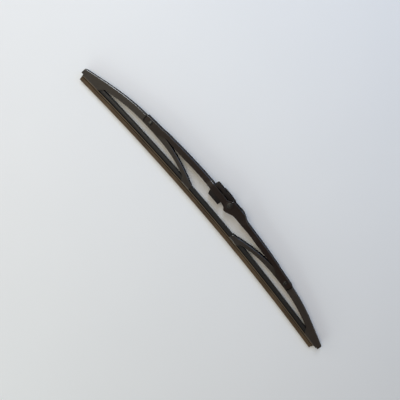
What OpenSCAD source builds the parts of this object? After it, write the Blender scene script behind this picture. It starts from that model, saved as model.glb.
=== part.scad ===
// Steel-framed wiper blade. A pressed bridge carries two pressed levers on rivets, and the claws of
// the levers hold a bowed rubber that two flat steel spines keep straight across.
// X runs along the blade, Y from the lip of the rubber to the back of the bridge, Z across it.
// The origin is on the arm pin at mid-width, and all sizes are in millimetres.

/* [Rubber] */
// Length of the rubber
rubber_length = 450; // [420:5:480]
// Radius of the bow that the frame gives the rubber
bow_radius = 3100; // [2600:50:4000]
// Width of the rubber's head
head_width = 6.2; // [5.6:0.1:6.8]
// Height of the rubber's head, with the spines in it
head_height = 4.35; // [4:0.05:5]
// Height of the groove that the claws run in
groove_height = 1.25; // [1.15:0.05:1.5]
// Width of the neck inside that groove
neck_width = 2; // [1.6:0.1:2.4]
// Width of the shoulder below the groove
shoulder_width = 5.6; // [5:0.1:6]
// Height of the shoulder
shoulder_height = 1.5; // [1.2:0.1:1.9]
// Height of the lip, from its hinge to the wiping edge
lip_height = 5.5; // [4.8:0.1:6.2]
// Thickness of the wiping edge
edge_width = 0.8; // [0.6:0.1:1.2]
// Depth of the rubber's back below the arm pin, at mid-length
head_drop = 21.4; // [20.6:0.2:23]
// Distance that the rubber has crept along its claws, towards the left
rubber_slide = 1.8; // [0:0.1:2]

/* [Spines] */
// Thickness of each spine
spine_thickness = 1; // [0.8:0.05:1.1]
// Width of each spine
spine_width = 2; // [1.7:0.1:2.2]

/* [Levers] */
// Distance from mid-length to each lever's rivet
pivot_reach = 130.5; // [124:0.5:136]
// Depth of the lever rivets below the arm pin
pivot_drop = 9.6; // [9.2:0.1:10.4]
// Distance from mid-length to the end of each inner claw
inner_claw_reach = 39.5; // [35:0.5:44]
// Length of each inner claw
inner_claw_length = 13; // [11:0.5:16]
// Length over which the inner arm flares into its claw
inner_claw_flare = 5; // [4:0.5:6]
// Radius of the upper corner at the inner claw's end
inner_claw_corner = 3; // [2:0.5:3.5]
// Length of each outer claw
outer_claw_length = 24; // [18:1:28]
// Length over which the outer arm flares into its claw
outer_claw_flare = 7; // [5:0.5:9]
// Length of the closed nose past the outer claw
nose_length = 3; // [2.5:0.5:5]
// Steel thickness of the levers
lever_steel = 1; // [0.8:0.05:1.1]
// Depth of the inner arm
inner_arm_depth = 5.7; // [5.3:0.1:6.5]
// Depth of the outer arm
outer_arm_depth = 9.2; // [8.6:0.2:9.8]
// Slope of the lever's back at both ends of its arms
end_slope = 0.31; // [0.26:0.01:0.34]
// Slope of the inner claw's upper edge
claw_slope = 0.2; // [0.15:0.01:0.25]
// Diameter of the lever rivets
lever_rivet_d = 3.8; // [3.2:0.1:4.2]

/* [Bridge] */
// Steel thickness of the bridge
bridge_steel = 1; // [0.8:0.05:1.1]
// Height of the bridge's back above the arm pin, beside the hub
bridge_rise = 2.8; // [2.4:0.1:3.2]
// Height of the hump above the arm pin
hump_rise = 7.6; // [6.8:0.1:8.2]
// Depth of the bridge's side walls at mid-length
bridge_wall = 7.9; // [7.4:0.1:8.6]
// Depth of the ear round the arm pin, below the side wall
ear_drop = 4.8; // [4.2:0.1:5.2]
// Length of the bridge past each lever rivet
bridge_overhang = 8.6; // [7.6:0.2:10]
// Slope of the bridge's back at its ends
bridge_slope = 0.095; // [0.08:0.005:0.11]
// Height of the step down in the bridge's back before each lever rivet
joint_step = 0.5; // [0.3:0.05:0.7]
// Distance from mid-length to the arm pin
pin_offset = 8; // [4:0.5:12]
// Nylon thickness of the liners between bridge and levers
liner_wall = 0.5; // [0.4:0.05:0.8]
// Length of each liner's rim past the end of the bridge
liner_past = 1.2; // [0.8:0.1:1.6]

/* [Arm adapter] */
// Width of the arm's hook
hook_width = 9; // [8.6:0.1:9.4]
// Inside radius of the arm's hook
hook_radius = 5.3; // [5:0.1:5.6]
// Thickness of the arm's hook
hook_thickness = 4; // [3:0.1:4.2]
// Thickness of the adapter's cheeks
cheek = 1.4; // [1.2:0.1:1.7]
// Length of the adapter behind the pin
adapter_back = 31.3; // [29:0.5:34]
// Diameter of the arm pin
pin_d = 4.8; // [4.4:0.1:5.2]

/* [Hidden] */
$fn = 64;

steel_black = [0.17, 0.16, 0.16];
rubber_black = [0.10, 0.09, 0.09];
nylon_black = [0.13, 0.13, 0.14];
rivet_grey = [0.25, 0.24, 0.24];
spine_grey = [0.45, 0.44, 0.42];

// Fits
claw_gap = 0.3;
groove_gap = 0.15;
spine_gap = 0.05;
liner_gap = 0.05;
running_gap = 0.05;
hook_gap = 0.2;
hook_play = 0.6;
hub_gap = 0.4;
window_gap = 0.9;
rubber_end_gap = 0.8;
seam = 0.4;

// Widths, from the rubber and the hook outwards
lever_half = head_width / 2 + claw_gap + lever_steel;
arm_half = lever_half + liner_wall + 2 * liner_gap + bridge_steel;
slot_half = hook_width / 2 + hook_gap;
adapter_half = slot_half + cheek;
hub_half = adapter_half + hub_gap + bridge_steel;

// Fold radii of the pressings
lever_fold = lever_steel + 0.3;
bridge_fold = bridge_steel + 0.3;

// Places along the blade, from mid-length
mid_x = -pin_offset;
claw_end = rubber_length / 2 + 1;
tip_reach = claw_end + nose_length;
claw_start = claw_end - outer_claw_length;
bridge_end = pivot_reach + bridge_overhang;
end_corner = 3;

// A step that starts and ends level, and a curve between two heights with a slope at each end
function ease(t) = let (u = min(max(t, 0), 1)) u * u * (3 - 2 * u);
function blend(a, b, t) = a + (b - a) * ease(t);
function bend(t, run, y0, y1, m0, m1) =
    (2 * t ^ 3 - 3 * t ^ 2 + 1) * y0 + (3 * t ^ 2 - 2 * t ^ 3) * y1
    + run * ((t ^ 3 - 2 * t ^ 2 + t) * m0 + (t ^ 3 - t ^ 2) * m1);
function steps(from, to, count) = [for (i = [0:count - 1]) from + (to - from) * i / count];

// Back of the rubber, s from mid-length
function head_y(s) = sqrt(bow_radius ^ 2 - s ^ 2) - bow_radius - head_drop;

// Channel pressed from sheet: sections at the marks, each with its own top, lower edge and half
// width, and folded corners along the top
module pressed_channel(marks, top, low, half, steel, fold) {
    inner_fold = fold - steel;
    section = function (m) let (y = top(m), l = low(m), h = half(m)) concat(
        [[m, l, h]],
        [for (a = [0:30:90]) [m, y - fold + fold * sin(a), h - fold + fold * cos(a)]],
        [for (a = [90:30:180]) [m, y - fold + fold * sin(a), fold - h + fold * cos(a)]],
        [[m, l, -h], [m, l, steel - h]],
        [[m, y - steel - inner_fold, steel - h], [m, y - steel, steel - h + inner_fold]],
        [[m, y - steel, h - steel - inner_fold], [m, y - steel - inner_fold, h - steel]],
        [[m, l, h - steel]]);
    n = 16;
    last = (len(marks) - 1) * n;
    sides = [for (i = [0:len(marks) - 2], j = [0:n - 1])
        let (a = i * n + j, b = i * n + (j + 1) % n) [a, b, b + n, a + n]];
    // Each end is closed in five convex pieces: wall, fold, back, fold, wall
    cap = [[0, 1, 14, 15], [1, 2, 3, 4, 13, 14], [4, 5, 12, 13], [5, 6, 7, 8, 11, 12], [8, 9, 10, 11]];
    start_cap = [for (c = cap) [for (k = [len(c) - 1:-1:0]) c[k]]];
    end_cap = [for (c = cap) [for (k = c) last + k]];
    polyhedron([for (m = marks) each section(m)], concat(sides, start_cap, end_cap), convexity = 8);
}

// Lever, drawn for the right-hand side with s from mid-length
web_start = inner_claw_reach + 8.5;
inner_claw_end = inner_claw_reach + inner_claw_length;
claw_depth = head_height + groove_height - groove_gap;
nose_depth = claw_depth - 1.2;
web_y = head_y(web_start) + 3;
crown_y = 3.15 - pivot_drop;
function lever_top(s) = s < web_start ? web_y - claw_slope * (web_start - s)
    : s < pivot_reach
    ? bend((s - web_start) / (pivot_reach - web_start), pivot_reach - web_start,
        web_y, crown_y, end_slope, 0)
    : bend((s - pivot_reach) / (tip_reach - pivot_reach), tip_reach - pivot_reach,
        crown_y, head_y(tip_reach) + 2.5, 0, -end_slope);
function arm_low(s) = lever_top(s)
    - blend(inner_arm_depth, outer_arm_depth, (s - pivot_reach + 55) / 65);
function lever_low(s) = s > claw_end ? head_y(s) - nose_depth
    : s > pivot_reach
    ? blend(arm_low(s), head_y(s) - claw_depth, (s - claw_start) / outer_claw_flare + 1)
    : blend(head_y(s) - claw_depth, arm_low(s), (s - inner_claw_end) / inner_claw_flare);
lever_marks = concat(
    steps(inner_claw_reach, web_start, 2),
    steps(web_start, inner_claw_end, 2),
    steps(inner_claw_end, inner_claw_end + inner_claw_flare, 6),
    steps(inner_claw_end + inner_claw_flare, pivot_reach, 12),
    steps(pivot_reach, claw_start - outer_claw_flare, 9),
    steps(claw_start - outer_claw_flare, claw_start, 8),
    steps(claw_start, claw_end, 3),
    [claw_end, claw_end + 0.2, tip_reach]);

// Folded edge of a claw, which runs in the rubber's groove
module claw_lips(from, to) {
    lip_top = -head_height - groove_gap;
    lip_low = 0.05 - claw_depth;
    reach = neck_width / 2 + 0.5;
    for (side = [-1, 1])
        translate([0, 0, side * (lever_half - lever_steel + seam + reach) / 2])
            linear_extrude(lever_half - lever_steel + seam - reach, center = true)
                polygon([[from, head_y(from) + lip_low], [to, head_y(to) + lip_low],
                         [to, head_y(to) + lip_top], [from, head_y(from) + lip_top]]);
}

module lever() {
    inner_half = lever_half - lever_steel;
    corner_y = lever_top(inner_claw_reach + inner_claw_corner)
        - inner_claw_corner * sqrt(1 + claw_slope ^ 2);
    corner_lean = inner_claw_corner * sin(atan(claw_slope));
    difference() {
        union() {
            pressed_channel(lever_marks, function (s) lever_top(s), function (s) lever_low(s),
                function (s) lever_half, lever_steel, lever_fold);
            claw_lips(inner_claw_reach + 0.2, inner_claw_end - 0.5);
            claw_lips(claw_start + 0.5, claw_end - 0.2);
            // Closed nose
            translate([tip_reach - lever_steel - 0.1, head_y(tip_reach) - nose_depth + 0.1, 0])
                linear_extrude(2 * (inner_half + seam), center = true)
                    square([lever_steel, nose_depth + 2]);
        }
        // The back ends before the inner claw does, so that the claw is two side walls
        translate([0, 0, -inner_half])
            linear_extrude(2 * inner_half)
                translate([inner_claw_reach - 1, head_y(web_start) - 1])
                    square([web_start - inner_claw_reach + 1, 8]);
        // Rounded upper corner at the end of the inner claw
        translate([inner_claw_reach + inner_claw_corner, corner_y, -2 * lever_half])
            linear_extrude(4 * lever_half)
                difference() {
                    translate([-2 * inner_claw_corner, 0])
                        square([2 * inner_claw_corner - corner_lean, 2 * inner_claw_corner]);
                    circle(inner_claw_corner);
                }
        translate([pivot_reach, -pivot_drop, 0])
            cylinder(d = lever_rivet_d + 2 * running_gap, h = 4 * lever_half, center = true);
    }
}

module lever_right() {
    color(steel_black) translate([mid_x, 0, 0]) lever();
}

module lever_left() {
    color(steel_black) translate([mid_x, 0, 0]) mirror([1, 0, 0]) lever();
}

// Bridge, with x from the arm pin and s from mid-length
hub_flat = 28;
ramp_start = -5;
hump_end = 17;
hump_fall = 18;
hub_low = bridge_rise - bridge_wall;
joint_top = 5.15 - pivot_drop;
joint_low = -pivot_drop - 4;
window_back = adapter_back + window_gap;
window_front = 14;
function arm_top(s) = s < hub_flat ? bridge_rise
    : s < pivot_reach
    ? bend((s - hub_flat) / (pivot_reach - hub_flat), pivot_reach - hub_flat,
        bridge_rise, joint_top + joint_step, 0, -bridge_slope)
        - joint_step * ease((s - pivot_reach + 22) / 6)
    : joint_top - bridge_slope * (s - pivot_reach);
function bridge_top(x) = arm_top(abs(x - mid_x))
    + (hump_rise - bridge_rise) * ease((x - ramp_start) / 6) * (1 - ease((x - hump_end) / hump_fall));
function bridge_low(x) = let (s = abs(x - mid_x))
    blend(blend(hub_low, hub_low - 2, (s - 42) / 43), joint_low, (s - pivot_reach + 30) / 19)
    - ear_drop * (x < 0 ? ease((x + 6) / 5.5) : 1 - ease(x / 15));
function bridge_half(x) = arm_half + (hub_half - arm_half)
    * ease((x + window_back + 8) / 7.6) * (1 - ease((x - hump_end - 14) / 12));
ear_from = pivot_reach - 31;
bridge_marks = concat(
    steps(mid_x - bridge_end, mid_x - ear_from - 21, 3),
    steps(mid_x - ear_from - 21, mid_x - ear_from, 8),
    steps(mid_x - ear_from, -window_back - 8, 7),
    steps(-window_back - 8, -window_back, 6),
    steps(-window_back, -6.5, 4),
    steps(-6.5, 1.5, 10),
    steps(1.5, hump_end, 8),
    steps(hump_end, hump_end + 28, 14),
    steps(hump_end + 28, mid_x + ear_from, 6),
    steps(mid_x + ear_from, mid_x + ear_from + 21, 8),
    steps(mid_x + ear_from + 21, mid_x + bridge_end, 3),
    [mid_x + bridge_end]);
boss_height = 0.4;

module main_bridge() {
    color(steel_black)
        difference() {
            union() {
                pressed_channel(bridge_marks, function (x) bridge_top(x), function (x) bridge_low(x),
                    function (x) bridge_half(x), bridge_steel, bridge_fold);
                // Round boss pressed out of each ear
                for (side = [0, 1])
                    mirror([0, 0, side])
                        translate([0, 0, hub_half - bridge_steel / 2])
                            cylinder(d1 = 11.6, d2 = 10.4, h = bridge_steel / 2 + boss_height);
            }
            // Window for the adapter and the arm's hook
            translate([-window_back, -20, bridge_steel - hub_half])
                cube([window_back + window_front, 40, 2 * (hub_half - bridge_steel)]);
            // Holes for the arm pin and the lever rivets
            cylinder(d = pin_d, h = 4 * hub_half, center = true);
            for (side = [-1, 1])
                translate([mid_x + side * pivot_reach, -pivot_drop, 0])
                    cylinder(d = lever_rivet_d, h = 4 * hub_half, center = true);
            // Rounded lower corners at both ends
            for (side = [0, 1])
                translate([mid_x, 0, 0])
                    mirror([side, 0, 0])
                        translate([bridge_end - end_corner, joint_low + end_corner, -2 * hub_half])
                            linear_extrude(4 * hub_half)
                                difference() {
                                    translate([0, -2 * end_corner]) square(2 * end_corner);
                                    circle(end_corner);
                                }
        }
}

// Rivet on the Z axis, with a low domed head on each face
module rivet(d, grip, head_d, head_h) {
    dome = (head_d ^ 2 / 4 + head_h ^ 2) / (2 * head_h);
    cylinder(d = d, h = 2 * grip, center = true);
    for (side = [0, 1])
        mirror([0, 0, side])
            translate([0, 0, grip])
                intersection() {
                    cylinder(d = head_d, h = head_h);
                    translate([0, 0, head_h - dome]) sphere(dome, $fn = 96);
                }
}

module centre_rivet() {
    color(rivet_grey) rivet(pin_d, hub_half + boss_height, 7.4, 0.9);
}

module lever_rivet(side) {
    color(rivet_grey)
        translate([mid_x + side * pivot_reach, -pivot_drop, 0])
            rivet(lever_rivet_d, arm_half, lever_rivet_d + 2, 0.8);
}

module lever_rivet_left() {
    lever_rivet(-1);
}

module lever_rivet_right() {
    lever_rivet(1);
}

// Nylon saddle between a lever and the bridge: a cheek on each side, a strap across them, and a rim
// that stands past the bridge's end and follows its rounded corners
module pivot_liner() {
    strap_out = pivot_reach - 8.5;
    strap_in = strap_out - 5;
    strap_top = arm_top(strap_out) - bridge_fold - liner_gap;
    strap = 0.7;
    inside = lever_half + liner_gap;
    rim_half = arm_half - 0.1;
    rim_top = arm_top(bridge_end) - 0.1;
    rim_low = joint_low + end_corner;
    rim_in = bridge_end + liner_gap;
    rim_out = bridge_end + liner_past;
    fold = bridge_fold - 0.1;
    rim_side = concat([[rim_low, rim_half]],
        [for (a = [0:30:90]) [rim_top - fold + fold * sin(a), rim_half - fold + fold * cos(a)]]);
    difference() {
        union() {
            for (side = [-1, 1]) {
                translate([0, 0, side * (inside + liner_wall / 2)])
                    linear_extrude(liner_wall, center = true)
                        polygon([[strap_in, strap_top], [strap_out, strap_top],
                                 [rim_out, arm_top(bridge_end) - bridge_fold - liner_gap],
                                 [rim_out, rim_low], [bridge_end - 1, joint_low + 1],
                                 [pivot_reach, joint_low + 0.5], [strap_in, -pivot_drop]]);
                translate([bridge_end - end_corner, rim_low, side * (inside + rim_half) / 2])
                    linear_extrude(rim_half - inside, center = true)
                        polygon([for (k = [0:13]) let (
                            r = k < 7 ? end_corner + liner_past : end_corner + liner_gap,
                            a = -(k < 7 ? k : 13 - k) * 10) [r * cos(a), r * sin(a)]]);
            }
            translate([rim_in, 0, 0])
                rotate([90, 0, 90])
                    linear_extrude(rim_out - rim_in)
                        polygon(concat(rim_side,
                            [for (k = [len(rim_side) - 1:-1:0]) [rim_side[k].x, -rim_side[k].y]],
                            [[rim_low, -inside], [rim_top - strap, -inside],
                             [rim_top - strap, inside], [rim_low, inside]]));
            linear_extrude(2 * inside + liner_wall, center = true)
                translate([strap_in, strap_top - strap]) square([strap_out - strap_in, strap]);
        }
        translate([pivot_reach, -pivot_drop, 0])
            cylinder(d = lever_rivet_d, h = 4 * lever_half, center = true);
    }
}

module pivot_liner_right() {
    color(nylon_black) translate([mid_x, 0, 0]) pivot_liner();
}

module pivot_liner_left() {
    color(nylon_black) translate([mid_x, 0, 0]) mirror([1, 0, 0]) pivot_liner();
}

// Section swept along the bow of the rubber, x down from the rubber's back as a negative number
module along_bow(length) {
    half_angle = asin(length / 2 / bow_radius);
    slide_angle = asin(rubber_slide / bow_radius);
    translate([mid_x, -bow_radius - head_drop, 0])
        rotate([0, 0, 90 - half_angle + slide_angle])
            rotate_extrude(angle = 2 * half_angle, $fn = 2880)
                translate([bow_radius, 0])
                    children();
}

spine_top = head_height * 0.32;
spine_slot_half = head_width / 2 - spine_width - 2 * spine_gap;
hinge_half = 0.55;
hinge_height = 0.6;

module rubber_section() {
    groove_top = -head_height;
    shoulder_top = groove_top - groove_height;
    hinge_top = shoulder_top - shoulder_height;
    lip_top = hinge_top - hinge_height;
    slot_top = spine_gap - spine_top;
    slot_low = -spine_top - spine_thickness - spine_gap;
    half = [
        [0, head_width / 2 - 0.4], [-0.4, head_width / 2],
        [slot_top, head_width / 2], [slot_top, spine_slot_half],
        [slot_low, spine_slot_half], [slot_low, head_width / 2],
        [groove_top + 0.2, head_width / 2], [groove_top, head_width / 2 - 0.2],
        [groove_top, neck_width / 2], [shoulder_top, neck_width / 2],
        [shoulder_top, shoulder_width / 2 - 0.2], [shoulder_top - 0.2, shoulder_width / 2],
        [hinge_top + 0.5, shoulder_width / 2 - 0.3], [hinge_top, shoulder_width / 2 - 0.9],
        [hinge_top, hinge_half], [lip_top, hinge_half],
        [lip_top - 0.1, 1.9], [lip_top - 0.6, 1.9], [lip_top - 1.4, 0.75],
        [hinge_top - lip_height, edge_width / 2]];
    polygon(concat(half, [for (k = [len(half) - 1:-1:0]) [half[k].x, -half[k].y]]));
}

module wiping_rubber() {
    color(rubber_black)
        along_bow(rubber_length)
            rubber_section();
}

module spine(side) {
    color(spine_grey)
        along_bow(rubber_length - 2 * rubber_end_gap)
            translate([-spine_top - spine_thickness, side * (spine_slot_half + spine_gap + spine_width / 2)])
                translate([0, -spine_width / 2])
                    square([spine_thickness, spine_width]);
}

module spine_front() {
    spine(1);
}

module spine_rear() {
    spine(-1);
}

// Arm adapter: two cheeks with a core between them that the arm's hook bends round
slot_low = -hook_radius - hook_thickness - hook_play;
strap_low = slot_low - 1.1;
latch_bump = 0.3;
strap_front = -10.4;
strap_back = 2.8 - adapter_back;
cheek_top = hook_radius + 3.4;

module adapter_side() {
    polygon([
        [0.2 - adapter_back, -5], [-adapter_back, 2.2], [0.4 - adapter_back, 6.6],
        [1.5 - adapter_back, cheek_top - 1], [-19, cheek_top - 1], [-18, cheek_top - 0.1],
        [-6, cheek_top], [-1, cheek_top - 0.5],
        [0, 0], [0, -hook_radius - 1.5], [strap_front, -hook_radius - 0.4], [strap_front, strap_low],
        [strap_back, strap_low]]);
    circle(hook_radius + 2.9);
}

module adapter_windows() {
    for (reach = [[-24.5, -17], [-12.5, -6.6]])
        translate([reach[0], 2.2 - hook_radius])
            square([reach[1] - reach[0], 2 * (hook_radius - 2.2)]);
}

module arm_adapter() {
    core_back = 4.3 - adapter_back;
    color(nylon_black)
        difference() {
            union() {
                for (side = [-1, 1])
                    translate([0, 0, side * (slot_half + cheek / 2)])
                        linear_extrude(cheek, center = true)
                            adapter_side();
                linear_extrude(2 * slot_half + seam, center = true) {
                    circle(hook_radius);
                    translate([core_back, -hook_radius]) square([-core_back, 2 * hook_radius]);
                    polygon([[strap_front, strap_low], [strap_front, slot_low],
                             [strap_front - 5, slot_low], [strap_front - 6, slot_low + latch_bump],
                             [strap_front - 7.2, slot_low], [strap_back - 0.5, slot_low],
                             [strap_back, strap_low]]);
                }
            }
            linear_extrude(4 * hub_half, center = true) adapter_windows();
            // Notch in the upper edge of the front cheek
            translate([-17.3, cheek_top - 1.7, slot_half - 0.1]) cube([3, 2, cheek + 0.2]);
            cylinder(d = pin_d + 2 * running_gap, h = 4 * hub_half, center = true);
            // Grip ribs under the release strap
            for (i = [0:5])
                translate([strap_front - 2.4 - i * 2.4, strap_low, -2 * hub_half])
                    linear_extrude(4 * hub_half)
                        rotate(45) square(0.8, center = true);
        }
}

main_bridge();
centre_rivet();
arm_adapter();
lever_left();
lever_right();
lever_rivet_left();
lever_rivet_right();
pivot_liner_left();
pivot_liner_right();
wiping_rubber();
spine_front();
spine_rear();
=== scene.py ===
import math

import bmesh
import bpy
from mathutils import Matrix, Vector, noise


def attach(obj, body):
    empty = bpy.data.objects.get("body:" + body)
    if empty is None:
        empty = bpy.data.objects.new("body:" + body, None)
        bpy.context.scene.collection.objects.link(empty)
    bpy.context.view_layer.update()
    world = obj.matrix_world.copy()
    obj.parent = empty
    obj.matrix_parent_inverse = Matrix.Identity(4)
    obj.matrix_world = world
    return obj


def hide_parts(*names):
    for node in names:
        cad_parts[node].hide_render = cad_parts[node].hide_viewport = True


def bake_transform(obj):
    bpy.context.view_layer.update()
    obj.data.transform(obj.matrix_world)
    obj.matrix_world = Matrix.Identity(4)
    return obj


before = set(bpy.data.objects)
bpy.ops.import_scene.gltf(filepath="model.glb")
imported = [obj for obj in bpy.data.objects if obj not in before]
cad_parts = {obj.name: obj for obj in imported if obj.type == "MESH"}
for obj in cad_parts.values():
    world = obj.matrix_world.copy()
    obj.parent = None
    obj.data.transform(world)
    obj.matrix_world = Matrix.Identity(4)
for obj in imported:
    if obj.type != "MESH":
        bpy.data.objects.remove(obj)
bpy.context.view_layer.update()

# Sizes in millimetres, as the part's source has them. X runs along the blade, Y to the back of the
# bridge and Z along the arm pin. The pin's centre is the origin, and s is a distance from mid-length.
# A change along the blade is named by where it starts, as a START, or as a BEFORE or PAST of the
# joint or edge that it belongs to, and by its length, as a RUN or a FALL.
MM = 0.001

# Rubber, and the spines in its head
RUBBER_LENGTH, BOW_RADIUS, RUBBER_SLIDE = 450.0, 3100.0, 1.8
HEAD_WIDTH, HEAD_HEIGHT, HEAD_DROP = 6.2, 4.35, 21.4
GROOVE_HEIGHT, NECK_WIDTH = 1.25, 2.0
SHOULDER_WIDTH, SHOULDER_HEIGHT = 5.6, 1.5
SLIT_HEIGHT, HINGE_HALF, HEEL_HALF = 0.6, 0.55, 1.9
LIP_HEIGHT, EDGE_WIDTH = 5.5, 0.8
SPINE_THICKNESS, SPINE_WIDTH, SPINE_GAP, RUBBER_END_GAP = 1.0, 2.0, 0.05, 0.8

# Levers
LEVER_STEEL, LEVER_RIVET_D = 1.0, 3.8
PIVOT_REACH, PIVOT_DROP, CROWN_OVER_PIVOT = 130.5, 9.6, 3.15
INNER_CLAW_REACH, INNER_CLAW_LENGTH, INNER_CLAW_FLARE, INNER_CLAW_CORNER = 39.5, 13.0, 5.0, 3.0
OUTER_CLAW_LENGTH, OUTER_CLAW_FLARE, NOSE_LENGTH, NOSE_LIFT = 24.0, 7.0, 3.0, 1.2
INNER_ARM_DEPTH, OUTER_ARM_DEPTH, DEPTH_BEFORE, DEPTH_RUN = 5.7, 9.2, 55, 65
END_SLOPE, CLAW_SLOPE, BACK_AT_WEB, BACK_AT_TIP, WEB_SETBACK = 0.31, 0.2, 3, 2.5, 8.5
CLAW_ROUND, NECK_GAP = 0.7, 0.5

# Bridge
BRIDGE_STEEL, BRIDGE_RISE, BRIDGE_WALL, BRIDGE_SLOPE, BRIDGE_OVERHANG = 1.0, 2.8, 7.9, 0.095, 8.6
PIN_OFFSET, PIN_D, EAR_DROP, EAR_START, EAR_RUN, EAR_FALL = 8.0, 4.8, 4.8, -6, 5.5, 15
HUMP_RISE, HUMP_START, HUMP_RUN, HUMP_END, HUMP_FALL = 7.6, -5, 6, 17.0, 18.0
LEVEL_REACH, WALL_SAG, SAG_START, SAG_RUN = 28, 2, 42, 43
JOINT_STEP, STEP_BEFORE, STEP_RUN, JOINT_BEFORE, JOINT_RUN = 0.5, 22, 6, 30, 19
JOINT_OVER_PIVOT, JOINT_UNDER_PIVOT, END_CORNER = 5.15, 4, 3.0
FLARE_BEFORE, FLARE_RUN, FLARE_PAST, FLARE_FALL = 8, 7.6, 14, 12
BOSS_HEIGHT, PIN_HEAD_D, PIN_HEAD_HEIGHT, LEVER_HEAD_HEIGHT = 0.4, 7.4, 0.9, 0.8

# Liners, arm adapter and fits
LINER_WALL, LINER_GAP, LINER_PAST, LINER_STRAP = 0.5, 0.05, 1.2, 0.7
HOOK_WIDTH, HOOK_RADIUS, HOOK_THICKNESS = 9.0, 5.3, 4.0
CHEEK, ADAPTER_BACK, CHEEK_RISE, NOSE_RISE = 1.4, 31.3, 3.4, 2.9
CLAW_GAP, GROOVE_GAP, HOOK_GAP, HOOK_PLAY, HUB_GAP, WINDOW_GAP = 0.3, 0.15, 0.2, 0.6, 0.4, 0.9

# What follows from them
MID_X = -PIN_OFFSET
FOLD = 1.3
LEVER_HALF = HEAD_WIDTH / 2 + CLAW_GAP + LEVER_STEEL
ARM_HALF = LEVER_HALF + LINER_WALL + 2 * LINER_GAP + BRIDGE_STEEL
SLOT_HALF = HOOK_WIDTH / 2 + HOOK_GAP
ADAPTER_HALF = SLOT_HALF + CHEEK
HUB_HALF = ADAPTER_HALF + HUB_GAP + BRIDGE_STEEL
CLAW_END = RUBBER_LENGTH / 2 + 1
TIP_REACH = CLAW_END + NOSE_LENGTH
CLAW_START = CLAW_END - OUTER_CLAW_LENGTH
INNER_CLAW_END = INNER_CLAW_REACH + INNER_CLAW_LENGTH
CLAW_DEPTH = HEAD_HEIGHT + GROOVE_HEIGHT - GROOVE_GAP
WEB_START = INNER_CLAW_REACH + WEB_SETBACK
CROWN_Y = CROWN_OVER_PIVOT - PIVOT_DROP
BRIDGE_END = PIVOT_REACH + BRIDGE_OVERHANG
WINDOW_BACK, WINDOW_FRONT = -ADAPTER_BACK - WINDOW_GAP, 14.0
JOINT_TOP, JOINT_LOW = JOINT_OVER_PIVOT - PIVOT_DROP, -PIVOT_DROP - JOINT_UNDER_PIVOT
SLOT_BOTTOM = HEAD_WIDTH / 2 - SPINE_WIDTH - 2 * SPINE_GAP
SPINE_TOP = HEAD_HEIGHT * 0.32
GROOVE_LOW = HEAD_HEIGHT + GROOVE_HEIGHT
SLIT_TOP = GROOVE_LOW + SHOULDER_HEIGHT

# How finely the pieces are cut: steps in millimetres along a pressing, faces up its wall, round its
# fold and across its back, steps along the bow, and the angles from which an edge counts as sharp
BRIDGE_COARSE, LEVER_COARSE, FINE = 1.6, 1.8, 0.5
BRIDGE_WALL_FACES, LEVER_WALL_FACES, CLAW_FACES, FOLD_FACES, BACK_FACES = 18, 12, 4, 6, 8
DOME_FACES, BOW_STEPS = 8, 150
SHARP_EDGE, SHARP_PLATE = math.radians(40), math.radians(50)
NEAR = 0.01

# How fast the wear of the paint fades away from a fold, a lower edge, an end and a boss's shoulder,
# for each millimetre
FOLD_FADE, EDGE_FADE, END_FADE, BOSS_FADE = 0.9, 1.6, 1.2, 2.2


def ease(t):
    """0 below 0, 1 above 1, and a step that starts and ends level between them."""
    t = min(max(t, 0.0), 1.0)
    return t * t * (3 - 2 * t)


def between(a, b, t):
    """a where t is 0 or less, b where it is 1 or more, and a smooth change between them."""
    return a + (b - a) * ease(t)


def bend(t, run, y0, y1, m0, m1):
    """A curve over run from height y0 and slope m0 to y1 and m1, at t from 0 to 1."""
    return (
        (2 * t**3 - 3 * t**2 + 1) * y0
        + (3 * t**2 - 2 * t**3) * y1
        + run * ((t**3 - 2 * t**2 + t) * m0 + (t**3 - t**2) * m1)
    )


def head_y(s):
    """The back of the rubber."""
    return math.sqrt(BOW_RADIUS**2 - s * s) - BOW_RADIUS - HEAD_DROP


def lever_top(s):
    """The lever's back: straight over the inner claw, then up to the crown and down to the tip."""
    web_y = head_y(WEB_START) + BACK_AT_WEB
    if s < WEB_START:
        return web_y - CLAW_SLOPE * (WEB_START - s)
    if s < PIVOT_REACH:
        run = PIVOT_REACH - WEB_START
        return bend((s - WEB_START) / run, run, web_y, CROWN_Y, END_SLOPE, 0)
    run = TIP_REACH - PIVOT_REACH
    tip_y = head_y(TIP_REACH) + BACK_AT_TIP
    return bend((s - PIVOT_REACH) / run, run, CROWN_Y, tip_y, 0, -END_SLOPE)


def lever_low(s):
    """The lever's lower edge: it follows the back along the arms, and the rubber at the claws."""
    depth = between(INNER_ARM_DEPTH, OUTER_ARM_DEPTH, (s - PIVOT_REACH + DEPTH_BEFORE) / DEPTH_RUN)
    arm, claw = lever_top(s) - depth, head_y(s) - CLAW_DEPTH
    if s > CLAW_END:
        return claw + NOSE_LIFT
    if s > PIVOT_REACH:
        return between(arm, claw, (s - CLAW_START) / OUTER_CLAW_FLARE + 1)
    return between(claw, arm, (s - INNER_CLAW_END) / INNER_CLAW_FLARE)


def lever_edge(s):
    """The lever's back, with the rounded upper corner at the inner claw's end."""
    middle = INNER_CLAW_REACH + INNER_CLAW_CORNER
    if s > middle - INNER_CLAW_CORNER * math.sin(math.atan(CLAW_SLOPE)):
        return lever_top(s)
    centre = lever_top(middle) - INNER_CLAW_CORNER * math.hypot(1, CLAW_SLOPE)
    return centre + math.sqrt(max(0.0, INNER_CLAW_CORNER**2 - (middle - s) ** 2))


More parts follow.
